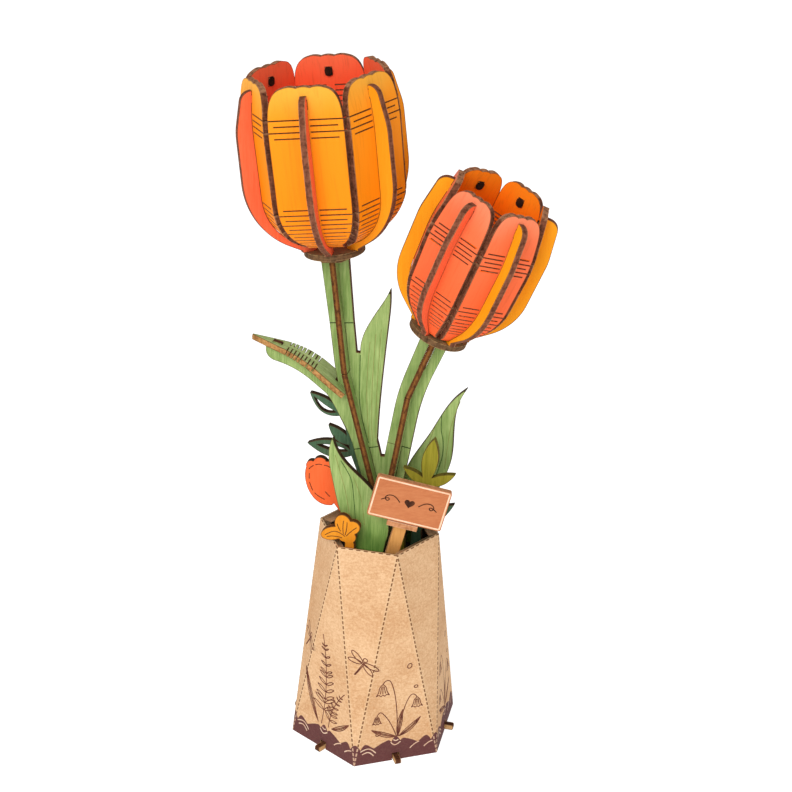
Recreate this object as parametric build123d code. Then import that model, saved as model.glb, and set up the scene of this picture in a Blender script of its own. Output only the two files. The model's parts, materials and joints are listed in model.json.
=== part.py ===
from build123d import *
import os
from math import cos, radians, sin, tan

# Two plywood tulips in a folded card vase, slotted together from laser-cut sheet.
# Sizes are in millimetres and angles in degrees. +Z is up, the front faces -Y, and the origin is the
# middle of the base. The stems lie in the plane y = 0. What stands in the vase is drawn by x and the height
# above the vase's mouth.

# Sheet stock and fits
ply = 2.0
card = 0.6
slot_play = 0.1
sleeve_play = 0.3
butt_gap = 0.15

# Vase: a hexagon at the mouth and a larger one at the foot, turned by half a side
vase_height = 80.0
mouth_radius = 21.1
foot_radius = 30.7
rim_flap = 3.0
rim_flap_drop = 1.2
rim_flap_gap = 0.5
hook_reach = 3.0
hook_height = 2.0
hook_depth = 4.0
hook_round = 0.7
notch_height = 2.9
notch_play = 0.4
soil_depth = 8.0
tenon_start = 5.5
tenon_length = 4.5

# Stems: where each one bends, its lean to the right above and below the bend, and its lengths
stem_width = 7.9
stem_flare = 0.9
stem_swell = 0.3
stem_top_width = 9.4
stem_bend = 80.0
cross_depth = 9.0
tall_bend = (-12.42, 58.09)
tall_lean_above = -6.8
tall_lean_below = -14.6
tall_rise = 39.6
tall_high_joint = 17.0
tall_low_joint = 29.0
tall_foot = 47.4
short_bend = (9.2, 52.0)
short_lean_above = 20.7
short_lean_below = 9.0
short_rise = 21.95
short_lap = 10.9
short_low_joint = 19.7
short_foot = 41.6
neck_left = -5.0
neck_right = 7.8
neck_top = 27.6
stem_tenon = 5.0

# Flower heads: outer faces of a petal and of its rib from foot to top, as distance from the axis and height,
# with the bends on the way, the lean of the last run and the height where it ends
petal_count = 6
petal_gap = 0.06
kerf = 0.28
kerf_bridge = 1.5
kerf_share = 0.85
high_kerf_share = 0.78
peg_height = 2.6
peg_drop = 5.0
peg_proud = 0.4
rib_play = 0.08
rib_tongue = (7.0, 9.4)
rib_shoulder = 0.8
rib_arm = 1.6
calyx_radius = 10.0
collar_radius = 6.4
scallop_count = 3
scallop_rise = 0.4
side_steps = 8
shoulder_pull = 0.9
tall_petal_line = [(10.8, 3.1), (22.3, 8.3), (22.6, 45.0)]
tall_petal_bends = [18.6, 74.0]
tall_kerf_rows = (12, 4)
tall_petal_lean = 7.0
tall_petal_top = 57.3
tall_petal_crown = 6.5
tall_petal_shoulder = 8.0
tall_rib_line = [(11.0, 0.6), (28.1, 10.7), (27.8, 42.5)]
tall_rib_bends = [26.0, 20.0]
tall_rib_lean = 14.0
tall_rib_over = -2.4
tall_rib_round_share = 1.16
tall_petal_turn = -86.0
short_petal_line = [(8.5, 0.9), (16.9, 11.7), (17.8, 35.7)]
short_petal_bends = [24.0, 50.0]
short_kerf_rows = (9, 5)
short_petal_lean = 8.5
short_petal_top = 51.4
short_petal_crown = 4.6
short_petal_shoulder = 7.0
short_rib_line = [(10.3, 1.2), (21.8, 11.4), (22.3, 36.2)]
short_rib_bends = [20.0, 24.0]
short_rib_lean = 9.0
short_rib_over = -1.6
short_rib_round_share = 0.83
short_petal_turn = -114.5

# Drooping leaf: its top face from the stem to its tip, and half its outline seen from above
droop_line = [(-11.95, 50.9), (-26.9, 62.56), (-45.2, 66.95)]
droop_bend = 36.0
droop_half = [(-10.0, 4.7), (-21.0, 4.95), (-33.0, 3.3), (-42.0, 1.1), (-45.4, 0.15)]
droop_slot_end = -16.2
droop_kerf_rows = 9
droop_kerf_share = 0.8
droop_kerf_bridge = 0.9
droop_peg = (-37.9, -34.9)
branch_height = 4.2
branch_end = -40.4
branch_root = -9.0
branch_round = 3.9
branch_web = [(-24.0, 52.6), (-17.4, 46.0), (-14.6, 40.9), (-12.2, 36.4), (-10.2, 31.5)]
branch_web_back = [(-8.5, 46.0), (-20.0, 54.0)]

# Tall leaf: its right edge from the stem to its tip, its left edge back to the slot between leaf and stem, and
# the end of the slot's bottom, inside the stem
tall_leaf_right = [(-1.4, 31.6), (-0.6, 52.0), (1.3, 76.0), (1.6, 88.6)]
tall_leaf_left = [(1.6, 88.6), (-5.4, 75.4), (-7.3, 70.6), (-7.9, 64.9)]
tall_leaf_slot = (-12.0, 64.9)

# Picks pushed into the soil plate: the depth of each one's plane, the middle of its foot and its outline.
# A leaf is its base and tip, how far it swells to its left and right, and where along it that is. A wing is
# the middle of an oval, its half length and width, and its turn.
pick_foot = 3.0
pick_shoulder = 4.4
pick_stalk = 3.2
sprig_stem = 2.2
front_leaf_y = -9.5
front_leaf_foot = 8.4
front_leaf_left = [(-6.6, 0.0), (-11.2, 8.7), (-14.4, 21.6), (-15.8, 32.0), (-14.5, 37.4)]
front_leaf_right = [(-14.5, 37.4), (-10.1, 28.6), (-1.2, 20.1), (5.4, 7.0), (4.6, 0.0)]
right_leaf_y = 6.0
right_leaf_foot = 4.4
right_leaf_left = [(8.9, 0.0), (8.0, 21.7), (15.1, 34.6), (22.6, 48.4), (27.6, 53.6)]
right_leaf_right = [(27.6, 53.6), (23.7, 40.5), (23.1, 25.7), (17.6, 11.0), (12.6, 0.0)]
dark_sprig_y = 7.0
dark_sprig_x = -8.0
dark_stem = [(-8.2, 15.7), (-10.9, 23.0), (-13.2, 33.4), (-15.6, 38.2)]
dark_top_leaf = ((-15.2, 37.6), (-26.8, 44.8), 3.5, 1.9, 0.42)
dark_top_cutout = ((-17.4, 38.6), (-25.4, 43.6), 2.5, -0.3, 0.42)
dark_middle_leaf = ((-11.6, 26.8), (-20.2, 33.4), 2.6, 1.6, 0.42)
dark_low_leaf = ((-10.8, 23.2), (-27.6, 25.4), 3.1, 3.4, 0.42)
dark_low_cutout = ((-13.0, 24.3), (-24.4, 25.3), 1.1, 1.0, 0.42)
dark_leaf_y = 1.6
dark_leaf_x = 13.0
dark_leaf_root = (14.8, 2.2)
dark_leaf_blade = ((13.4, 0.5), (25.8, 11.6), 2.6, 2.0, 0.42)
olive_sprig_y = -3.0
olive_sprig_x = 8.0
olive_root = (16.5, 21.0)
olive_middle_leaf = ((16.4, 20.0), (18.8, 38.2), 2.9, 2.7, 0.55)
olive_left_leaf = ((17.2, 20.4), (8.5, 26.0), 1.9, 1.5, 0.42)
olive_right_leaf = ((15.8, 20.4), (26.4, 25.5), 1.6, 2.2, 0.42)
bud_y = -4.0
bud_x = -6.5
bud_root = (-15.0, 11.0)
bud_left = [(-25.0, 22.1), (-24.4, 13.8), (-20.6, 9.0), (-15.8, 8.4)]
bud_right = [(-15.8, 8.4), (-12.6, 14.0), (-13.8, 22.6)]
bud_scallops = [(-13.8, 22.6), (-15.6, 25.2), (-17.8, 25.0), (-20.2, 26.3), (-22.5, 24.6), (-24.4, 24.2),
                (-25.0, 22.1)]
butterfly_y = -13.8
butterfly_x = -7.0
butterfly_root = (-8.2, 4.0)
butterfly_wings = [(-12.9, 3.2, 4.4, 2.5, 20.0), (-9.4, 7.2, 3.6, 2.9, 100.0), (-6.3, 6.2, 2.9, 2.5, 30.0),
                   (-6.7, 2.6, 1.9, 2.2, 0.0), (-8.6, 2.5, 2.7, 2.1, 0.0)]

# Sign: it leans in its own plane, which is turned a little to the right
sign_x = 6.0
sign_y = -12.2
sign_turn = 12.0
sign_lean = 13.5
sign_width = 25.6
sign_height = 15.2
sign_round = 0.8
post_width = 4.4
post_height = 32.0
board_offset = 0.3
board_over = 2.3
rail_length = 10.4
rail_height = 1.8
rail_drop = 0.4
rail_offset = 0.2

# Worked out from the sizes above
half_turn = 360 / petal_count / 2
corner = cos(radians(30))
foot_side = foot_radius * corner
soil_top = vase_height - soil_depth
soil_bottom = soil_top - ply
lap_low = ply + (soil_bottom - ply) / 3
lap_high = ply + 2 * (soil_bottom - ply) / 3
lap_half = ply / 2 / sin(radians(60)) + ply / 2 / tan(radians(60)) + slot_play
slot = ply + 2 * slot_play

parts = {}


def ring(radius, height, turn):
    """The six corners of a level hexagon."""
    spokes = [radians(turn + 60 * side) for side in range(6)]
    return [(radius * cos(a), radius * sin(a), height) for a in spokes]


def slab(low, high):
    """Everything between two heights."""
    width = 4 * foot_radius
    return Pos(0, 0, (low + high) / 2) * Box(width, width, high - low)


def spoke(angle):
    """The upright plane through the vase's axis that runs out along an angle."""
    a = radians(angle)
    return Plane((0, 0, 0), x_dir=(cos(a), sin(a), 0), z_dir=(sin(a), -cos(a), 0))


def upright(y):
    """A plane that faces the front at a depth, with its origin at the height of the vase's mouth."""
    return Plane((0, y, vase_height), x_dir=(1, 0, 0), z_dir=(0, -1, 0))


def plate(outline, plane):
    """A flat outline cut from plywood, half its thickness each side of a plane."""
    return extrude(plane * outline, amount=ply / 2, both=True)


def box_between(low, high):
    """A rectangle from one corner to the other."""
    size = Vector(*high) - Vector(*low)
    middle = (Vector(*high) + Vector(*low)) / 2
    return Pos(middle.X, middle.Y) * Rectangle(size.X, size.Y)


def up_along(lean):
    """The way up a stem that leans to the right."""
    return Vector(sin(radians(lean)), cos(radians(lean)))


def ribbon(points, widths):
    """A strip of changing width along a bent line."""
    left = []
    right = []
    for i, (point, width) in enumerate(zip(points, widths)):
        before = points[max(i - 1, 0)]
        after = points[min(i + 1, len(points) - 1)]
        way = (after - before).normalized()
        side = Vector(-way.Y, way.X) * (width / 2)
        left.append(point + side)
        right.append(point - side)
    return Polygon(*left, *reversed(right), align=None)


def shifted(points, distance):
    """A bent line moved to its right by a distance, with mitred corners."""
    points = [Vector(*p) for p in points]
    ways = [(b - a).normalized() for a, b in zip(points, points[1:])]
    sides = [Vector(way.Y, -way.X) for way in ways]
    moved = [points[0] + sides[0] * distance]
    for point, a, b in zip(points[1:], sides, sides[1:]):
        moved.append(point + (a + b) * (distance / (1 + a.dot(b))))
    moved.append(points[-1] + sides[-1] * distance)
    return moved


def bent_line(points, bends, distance=0.0):
    """Straight runs joined by arcs, at a distance to the right of a bent line."""
    return FilletPolyline(*shifted(points, distance), radius=[bend + distance for bend in bends])


def band(points, bends, near, far):
    """The strip between two distances from a bent line."""
    inner = bent_line(points, bends, near)
    outer = bent_line(points, bends, far)
    ends = [Line(inner @ end, outer @ end) for end in (0, 1)]
    return make_face([*inner.edges(), *outer.edges(), *ends])


def leaf(base, tip, left, right, belly):
    """A pointed leaf with its widest place part of the way along."""
    base = Vector(*base)
    tip = Vector(*tip)
    way = tip - base
    side = Vector(-way.Y, way.X).normalized()
    middle = base + way * belly
    left_edge = Bezier(base, middle + side * 2 * left, tip)
    right_edge = Bezier(tip, middle - side * 2 * right, base)
    return make_face([left_edge, right_edge])


def kerfs(arc, rows, share, top_open, bridge, half_width):
    """Saw-thin slits across part of a bend on both sides of its middle, every second row open at the edge."""
    slits = []
    for row in range(rows):
        along = 0.5 + share * (0.5 - (row + 0.5) / rows)
        at = arc @ along
        way = arc % along
        across = Plane((at.X, 0, at.Y), x_dir=(0, 1, 0), z_dir=(way.X, 0, way.Y))
        edge = half_width(at)
        end = edge + ply if (row % 2 == 0) == top_open else kerf_share * edge
        slit = Box(end - bridge, 4 * ply, kerf)
        for side in (-1, 1):
            slits.append(across * Pos(side * (bridge + end) / 2, 0, 0) * slit)
    return slits


# The sleeve is one sheet of card, creased into twelve triangles, with a flap along each side of its mouth
# folded in and a notch over each hook.
def sleeve_body(inset):
    """The solid inside the sleeve's outer face, drawn in by a distance."""
    shrink = inset / corner
    foot = ring(foot_radius - shrink, 0, 30)
    mouth = ring(mouth_radius - shrink, vase_height, 0)
    return ConvexPolyhedron(foot + mouth)


def rim_flaps():
    """Six narrow flaps folded in from the mouth's sides."""
    outer = [Vector(*p) for p in ring(mouth_radius, vase_height, 0)]
    inner = [Vector(*p) for p in ring(mouth_radius - rim_flap / corner, vase_height - rim_flap_drop, 0)]
    flaps = []
    for i in range(6):
        j = (i + 1) % 6
        along = (outer[j] - outer[i]).normalized() * rim_flap_gap
        top = [outer[i] + along, outer[j] - along, inner[i] + along, inner[j] - along]
        under = [p - Vector(0, 0, card) for p in top]
        flaps.append(ConvexPolyhedron(top + under))
    return flaps


notch = Box(2 * (hook_reach + hook_depth), ply + 2 * notch_play, 2 * notch_height)
notches = [Rot(0, 0, 60 * side) * Pos(foot_side, 0, 0) * notch for side in range(6)]
parts["vase_sleeve"] = sleeve_body(0) - sleeve_body(card) + rim_flaps() - notches


# Three boards cross in the vase. Their ends hook out through the sleeve's notches and stand on the table.
def wall_radius(height):
    """How far a board may reach inside the sleeve at a height."""
    inset = card + sleeve_play
    low = foot_side - inset
    high = mouth_radius - inset / corner
    return low + (high - low) * height / vase_height


hook_start = wall_radius(0) - hook_depth
hook_end = foot_side + hook_reach


def board_outline(tenons):
    """A board from hook to hook, with or without tenons for the soil plate."""
    edge = [(hook_start + slot_play, ply), (hook_start + slot_play, 0), (hook_end, 0), (hook_end, hook_height)]
    edge += [(wall_radius(hook_height), hook_height), (wall_radius(soil_bottom), soil_bottom)]
    if tenons:
        outer = tenon_start + tenon_length
        edge += [(outer, soil_bottom), (outer, soil_top), (tenon_start, soil_top), (tenon_start, soil_bottom)]
    mirrored = [(-x, z) for x, z in reversed(edge)]
    outline = Polygon(*edge, *mirrored, align=None)
    tips = outline.vertices().filter_by(lambda v: abs(v.X) > hook_end - hook_round)
    return fillet(tips, hook_round)


def lap(low, high):
    """The middle of a board, taken out between two heights for the boards that cross it."""
    return box_between((-lap_half, low), (lap_half, high))


low_board = board_outline(True) - lap(lap_low, soil_top)
middle_board = board_outline(True) - lap(0, lap_low) - lap(lap_high, soil_top)
parts["frame_board_low"] = plate(low_board, spoke(60))
parts["frame_board_middle"] = plate(middle_board, spoke(120))

base = sleeve_body(card + sleeve_play) & slab(0, ply)
hook_slots = [
    Rot(0, 0, 60 * side) * Pos(hook_start + hook_depth, 0, ply / 2) * Box(2 * hook_depth, slot, 2 * ply)
    for side in range(6)
]
parts["base_plate"] = base - hook_slots


# The fork is the third board: it rises through the soil plate and splits into the feet of both stems.
def tall_below(distance):
    return Vector(*tall_bend) - up_along(tall_lean_below) * distance


def tall_above(distance):
    return Vector(*tall_bend) + up_along(tall_lean_above) * distance


def short_below(distance):
    return Vector(*short_bend) - up_along(short_lean_below) * distance


def short_above(distance):
    return Vector(*short_bend) + up_along(short_lean_above) * distance


def rounded_bend(outline, bend):
    """A plank's outline with both corners at its bend made long curves."""
    return fillet(outline.vertices().sort_by_distance((*bend, 0))[:2], stem_bend)


def cross_slot(start, end):
    """A slot along a plank for the board that stands across it."""
    return ribbon([start, end], [slot, slot])


fork = Pos(0, -vase_height) * (board_outline(False) - lap(0, lap_high))
fork += box_between((neck_left, -soil_depth - ply), (neck_right, neck_top))
tall_fork = [tall_below(tall_foot + ply), tall_below(tall_low_joint)]
short_fork = [short_below(short_foot + ply), short_below(short_low_joint)]
fork += ribbon(tall_fork, [stem_width, stem_width + stem_flare])
fork += ribbon(short_fork, [stem_width, stem_width + stem_swell])
fork -= cross_slot(tall_below(tall_foot + slot_play), tall_below(tall_low_joint - ply))
fork -= cross_slot(short_below(short_foot + slot_play), short_below(short_low_joint - ply))
parts["stem_fork"] = plate(fork, upright(0))

# The tall stem's middle plank is cut in one with the tall leaf on its right and the branch on its left.
tall_leaf = make_face([
    Spline(*tall_leaf_right, tangents=((0, 1), (-0.1, 1))),
    Spline(*tall_leaf_left),
    *Polyline(tall_leaf_left[-1], tall_leaf_slot, tall_leaf_right[0]).edges(),
])
under_leaf = -ply - slot_play
branch = band(droop_line, [droop_bend], under_leaf - branch_height, under_leaf)
branch &= box_between((branch_end, tall_bend[1] - tall_foot), (branch_root, tall_bend[1] + tall_foot))
tip_corners = branch.vertices().sort_by(Axis.X)[:2]
branch = fillet(tip_corners.sort_by(Axis.Y)[0], branch_round)
web_side = Spline(*branch_web)
web_back = Polyline(branch_web[-1], *branch_web_back, branch_web[0])
branch += make_face([web_side, *web_back.edges()])
droop_start, droop_peg_end = droop_peg
peg_low = droop_line[1][1] - branch_height
branch_peg = box_between((droop_start, peg_low), (droop_peg_end, droop_line[2][1] + ply))
branch += branch_peg & band(droop_line, [droop_bend], under_leaf - branch_height, peg_proud)
middle_plank = rounded_bend(ribbon(
    [tall_below(tall_low_joint), tall_below(0), tall_above(tall_high_joint)],
    [stem_width + stem_flare, stem_width, stem_width + stem_swell],
), tall_bend)
middle_plank += [tall_leaf, branch]
middle_plank -= cross_slot(tall_above(butt_gap - slot_play), tall_above(tall_high_joint + ply))
parts["tall_stem_leaf_plank"] = plate(middle_plank, upright(0))

top_run = [tall_above(tall_high_joint), tall_above(tall_rise)]
tenon_run = [tall_above(tall_rise), tall_above(tall_rise + 2 * ply)]
stem_top = ribbon(top_run, [stem_width + stem_swell, stem_top_width])
stem_top += ribbon(tenon_run, [stem_tenon, stem_tenon])
parts["tall_stem_top_plank"] = plate(stem_top, upright(0))

short_plank = rounded_bend(ribbon(
    [short_below(short_low_joint), short_below(0), short_above(short_rise)],
    [stem_width + stem_swell, stem_width + stem_swell, stem_top_width],
), short_bend)
short_plank -= cross_slot(short_above(short_lap - slot_play), short_above(short_rise + ply))
parts["short_stem_plank"] = plate(short_plank, upright(0))


# Boards that stand across the planks, straddling one plank and slotted into the next.
def across_stem(bend, lean):
    """The plane square to the planks along a stem, with height along the stem from its bend."""
    way = up_along(lean)
    return Plane((bend[0], 0, vase_height + bend[1]), x_dir=(0, 1, 0), z_dir=(way.Y, 0, -way.X))


def cross_outline(low, high, slot_low, slot_high):
    """A board between two heights with a slot for a plank."""
    board = box_between((-cross_depth / 2, low), (cross_depth / 2, high))
    return board - box_between((-slot / 2, slot_low), (slot / 2, slot_high))


tall_low_cross = cross_outline(-tall_foot, -butt_gap, -tall_low_joint, 0)
parts["tall_stem_low_cross"] = plate(tall_low_cross, across_stem(tall_bend, tall_lean_below))
tall_high_cross = cross_outline(butt_gap, tall_rise, tall_high_joint, tall_rise + ply)
parts["tall_stem_high_cross"] = plate(tall_high_cross, across_stem(tall_bend, tall_lean_above))
short_low_cross = cross_outline(-short_foot, -butt_gap, -short_low_joint, 0)
parts["short_stem_low_cross"] = plate(short_low_cross, across_stem(short_bend, short_lean_below))
short_high_cross = cross_outline(butt_gap, short_rise, 0, short_lap)
short_high_cross += box_between((-stem_tenon / 2, short_rise), (stem_tenon / 2, short_rise + 2 * ply))
parts["short_stem_high_cross"] = plate(short_high_cross, across_stem(short_bend, short_lean_above))

# The drooping leaf is bent along its length by kerfs and sits on the branch, astride the stem's plank.
droop_top = bent_line(droop_line, [droop_bend])
droop = extrude(Plane.XZ * band(droop_line, [droop_bend], -ply, 0), amount=cross_depth, both=True)
far_edge = Spline(*droop_half)
near_edge = mirror(far_edge, about=Plane.XZ)
droop_ends = [Line(near_edge @ end, far_edge @ end) for end in (0, 1)]
droop &= extrude(make_face([near_edge, far_edge, *droop_ends]), amount=2 * droop_line[2][1])
droop_cuts = kerfs(droop_top.edges()[1], droop_kerf_rows, droop_kerf_share, True, droop_kerf_bridge,
                   lambda at: droop_half[1][1])
over_leaf = 2 * droop_line[2][1]
plank_gap = box_between((droop_slot_end, 0), (0, over_leaf))
peg_gap = box_between((droop_start - slot_play, 0), (droop_peg_end + slot_play, over_leaf))
droop_cuts += [extrude(Plane.XZ * gap, amount=slot / 2, both=True) for gap in (plank_gap, peg_gap)]
parts["drooping_leaf"] = Pos(0, 0, vase_height) * (droop - droop_cuts)


# A flower head: six kerf-bent petals, each pegged to a rib on its outside, all standing in a calyx plate.
def run_up(line, lean, top):
    """A bent line with its last run, which leans inwards and ends at a height."""
    r, z = line[-1]
    return line + [(r - (top - z) * tan(radians(lean)), top)]


def petal_face(inner, top, crown, shoulder):
    """The petal seen square on: sides that meet their neighbours, round shoulders and a scalloped top."""
    slope = tan(radians(half_turn))
    stop = 1 - shoulder / inner.length
    side_points = [inner @ (stop * i / side_steps) for i in range(side_steps + 1)]
    side_points = [Vector(slope * p.X - petal_gap, p.Y) for p in side_points]
    foot_corner = Vector(side_points[0].X, 0)
    side = Spline(*side_points)
    reach = (top - side_points[-1].Y) * shoulder_pull
    turn_in = Bezier(side @ 1, side @ 1 + side % 1 * reach, (crown, top))
    edges = [Line(foot_corner, side @ 0), side, turn_in]
    edges += [mirror(edge, about=Plane.YZ) for edge in edges]
    edges.append(Line((-foot_corner.X, 0), foot_corner))
    step = 2 * crown / scallop_count
    for i in range(scallop_count):
        x = -crown + i * step
        edges.append(ThreePointArc((x, top), (x + step / 2, top + scallop_rise), (x + step, top)))
    return make_face(edges)


def petal_piece(line, bends, rows, lean, top, crown, shoulder):
    """One petal, standing along +X from the head's axis."""
    slope = tan(radians(half_turn))
    over = run_up(line, lean, top + ply)
    outer = bent_line(over, bends)
    inner = bent_line(run_up(line, lean, top), bends, -ply)
    width = 2 * line[-1][0]
    petal = extrude(Plane.XZ * band(over, bends, -ply, 0), amount=width, both=True)
    petal &= extrude(Plane.YZ * petal_face(inner, top, crown, shoulder), amount=width)
    cuts = [Pos(width / 2, 0, top - peg_drop) * Box(width, slot, peg_height + 2 * slot_play)]
    low_bend, high_bend = outer.edges()[1::2]
    low_rows, high_rows = rows

    def half_width(at):
        return slope * (at.X - ply) - petal_gap

    cuts += kerfs(low_bend, low_rows, 1, False, kerf_bridge, half_width)
    cuts += kerfs(high_bend, high_rows, high_kerf_share, high_rows % 2 == 0, kerf_bridge, half_width)
    return petal - cuts


def rib_piece(line, bends, petal_run, petal_bends, peg_z, round_share):
    """One rib: its arm lies in the calyx, its back follows the petal and its peg goes through it."""
    outer = bent_line(line, bends)
    back = bent_line(petal_run, petal_bends, rib_play)
    near, far = rib_tongue
    heel = near - rib_shoulder
    tongue = [(far, 0), (far, -ply), (near, -ply), (near, 0)]
    arm = Polyline(outer @ 0, (line[0][0], 0), *tongue, (heel, 0), (heel, rib_arm), back @ 0)
    rib = make_face([*outer.edges(), *back.edges(), *arm.edges(), Line(back @ 1, outer @ 1)])
    tip = rib.vertices().sort_by(Axis.Y)[-2:].sort_by(Axis.X)[-1]
    rib = fillet(tip, round_share * (outer @ 1 - back @ 1).length)
    peg = band(petal_run, petal_bends, -ply - peg_proud, ply)
    peg &= box_between((0, peg_z - peg_height / 2), (2 * line[1][0], peg_z + peg_height / 2))
    return plate(rib + peg, Plane.XZ)


def add_head(name, rise, lean, turn, tenon_size, petal, rib):
    """Both plates, the petals and the ribs of one head, set on the top of its stem."""
    seat = Pos(rise.X, 0, vase_height + rise.Y) * Rot(0, lean, 0)
    tenon_hole = Pos(0, 0, -ply) * Box(tenon_size[0], tenon_size[1], 4 * ply)
    near, far = rib_tongue
    rib_slot = Pos((near + far) / 2, 0, -ply / 2) * Box(far - near + 2 * slot_play, slot, 2 * ply)
    turns = [Rot(0, 0, turn + 2 * half_turn * i) for i in range(petal_count)]
    calyx = Pos(0, 0, -ply / 2) * Cylinder(calyx_radius, ply)
    calyx -= [tenon_hole, *[t * rib_slot for t in turns]]
    collar = Pos(0, 0, -1.5 * ply) * extrude(RegularPolygon(collar_radius, 6), amount=ply / 2, both=True)
    parts[f"{name}_calyx"] = seat * calyx
    parts[f"{name}_collar"] = seat * (collar - tenon_hole)
    for i, t in enumerate(turns):
        parts[f"{name}_petal_{i + 1}"] = seat * t * petal
        parts[f"{name}_rib_{i + 1}"] = seat * t * rib


tenon_slot = stem_tenon + 2 * slot_play
tall_rib_top = tall_petal_top + tall_rib_over
short_rib_top = short_petal_top + short_rib_over
tall_petal = petal_piece(tall_petal_line, tall_petal_bends, tall_kerf_rows, tall_petal_lean,
                         tall_petal_top, tall_petal_crown, tall_petal_shoulder)
tall_rib = rib_piece(run_up(tall_rib_line, tall_rib_lean, tall_rib_top), tall_rib_bends,
                     run_up(tall_petal_line, tall_petal_lean, tall_rib_top), tall_petal_bends,
                     tall_petal_top - peg_drop, tall_rib_round_share)
add_head("tall", tall_above(tall_rise + 2 * ply), tall_lean_above, tall_petal_turn, (tenon_slot, slot),
         tall_petal, tall_rib)
short_petal = petal_piece(short_petal_line, short_petal_bends, short_kerf_rows, short_petal_lean,
                          short_petal_top, short_petal_crown, short_petal_shoulder)
short_rib = rib_piece(run_up(short_rib_line, short_rib_lean, short_rib_top), short_rib_bends,
                      run_up(short_petal_line, short_petal_lean, short_rib_top), short_petal_bends,
                      short_petal_top - peg_drop, short_rib_round_share)
add_head("short", short_above(short_rise + 2 * ply), short_lean_above, short_petal_turn, (slot, tenon_slot),
         short_petal, short_rib)


# Picks: each is one flat piece with a shouldered foot that pushes into a slot of the soil plate.
soil_slots = []


def stalk(x, points, shoulder=pick_shoulder, mouth=pick_stalk):
    """A foot in the soil plate and a stalk that leaves the mouth upright and goes on through some points."""
    foot = box_between((x - pick_foot / 2, -soil_depth - ply), (x + pick_foot / 2, ply - soil_depth))
    line = [Vector(x, -soil_depth), Vector(x, 0), *[Vector(*p) for p in points]]
    return foot + ribbon(line, [shoulder, mouth, *[sprig_stem] * len(points)])


def add_pick(name, outline, x, y):
    """Cut a pick from plywood and its slot from the soil plate."""
    parts[name] = plate(outline, upright(y))
    soil_slots.append(Pos(x, y, soil_bottom) * Box(pick_foot + 2 * slot_play, slot, 4 * ply))


def add_broad_leaf(name, left, right, shoulder, y):
    """A pick that is one broad leaf, drawn up its left edge and down its right one."""
    blade = make_face([Spline(*left), Spline(*right), Line(right[-1], left[0])])
    x = (left[0][0] + right[-1][0]) / 2
    add_pick(name, blade + stalk(x, [], shoulder, right[-1][0] - left[0][0]), x, y)


def arcs(points):
    """Arcs end to end, each through three of the points."""
    return [ThreePointArc(*points[i:i + 3]) for i in range(0, len(points) - 2, 2)]


add_broad_leaf("front_leaf", front_leaf_left, front_leaf_right, front_leaf_foot, front_leaf_y)
add_broad_leaf("right_leaf", right_leaf_left, right_leaf_right, right_leaf_foot, right_leaf_y)

dark_sprig = stalk(dark_sprig_x, dark_stem) + leaf(*dark_middle_leaf)
dark_sprig += leaf(*dark_top_leaf) - leaf(*dark_top_cutout)
dark_sprig += leaf(*dark_low_leaf) - leaf(*dark_low_cutout)
add_pick("dark_sprig", dark_sprig, dark_sprig_x, dark_sprig_y)

dark_leaf = stalk(dark_leaf_x, [dark_leaf_root]) + leaf(*dark_leaf_blade)
add_pick("dark_leaf", dark_leaf, dark_leaf_x, dark_leaf_y)

olive_sprig = stalk(olive_sprig_x, [olive_root])
olive_sprig += [leaf(*blade) for blade in (olive_middle_leaf, olive_left_leaf, olive_right_leaf)]
add_pick("olive_sprig", olive_sprig, olive_sprig_x, olive_sprig_y)

bud = make_face([Spline(*bud_left), Spline(*bud_right), *arcs(bud_scallops)])
add_pick("bud_pick", bud + stalk(bud_x, [bud_root]), bud_x, bud_y)

# The butterfly stands inside the rim, with its left wing over it.
butterfly = stalk(butterfly_x, [butterfly_root])
butterfly += [Pos(x, z) * Rot(0, 0, turn) * Ellipse(long, wide) for x, z, long, wide, turn in butterfly_wings]
add_pick("butterfly", butterfly, butterfly_x, butterfly_y)

# The sign: a board in front of a leaning post, with a short rail under it.
sign_place = Pos(sign_x, sign_y, soil_top) * Rot(0, 0, sign_turn) * Rot(0, sign_lean, 0)
sign_plane = Plane(sign_place.position, x_dir=(sign_place * Pos(1, 0, 0)).position - sign_place.position,
                   z_dir=sign_place.position - (sign_place * Pos(0, 1, 0)).position)
post_foot_rise = post_width / 2 * tan(radians(sign_lean))
post_outline = box_between((-post_width / 2, post_foot_rise), (post_width / 2, post_height))
post_outline += box_between((-pick_foot / 2, -ply / 2), (pick_foot / 2, post_height / 2))
parts["sign_post"] = plate(post_outline, sign_plane)
board_plane = sign_plane.offset(ply)
board_low = post_height - sign_height + board_over
sign_outline = RectangleRounded(sign_width, sign_height, sign_round)
sign_outline = Pos(board_offset, board_low + sign_height / 2) * sign_outline
parts["sign_board"] = plate(sign_outline, board_plane)
rail_outline = Pos(rail_offset, board_low - rail_drop - rail_height / 2) * Rectangle(rail_length, rail_height)
parts["sign_rail"] = plate(rail_outline, board_plane)
post_slot = pick_foot / cos(radians(sign_lean)) + 2 * ply * tan(radians(sign_lean)) + 2 * slot_play
post_slot_place = Pos(sign_x, sign_y, soil_bottom) * Rot(0, 0, sign_turn)
soil_slots.append(post_slot_place * Box(post_slot, slot, 4 * ply))

# The soil plate closes the mouth on top of the boards, with a slot for the fork, each tenon and each pick.
soil = sleeve_body(card + sleeve_play) & slab(soil_bottom, soil_top)
neck_slot = Box(neck_right - neck_left + 2 * slot_play, slot, 4 * ply)
soil_slots.append(Pos((neck_left + neck_right) / 2, 0, soil_bottom) * neck_slot)
for angle in (60, 120, 240, 300):
    middle = Pos(tenon_start + tenon_length / 2, 0, soil_bottom)
    soil_slots.append(Rot(0, 0, angle) * middle * Box(tenon_length + 2 * slot_play, slot, 4 * ply))
parts["soil_plate"] = soil - soil_slots

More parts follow.
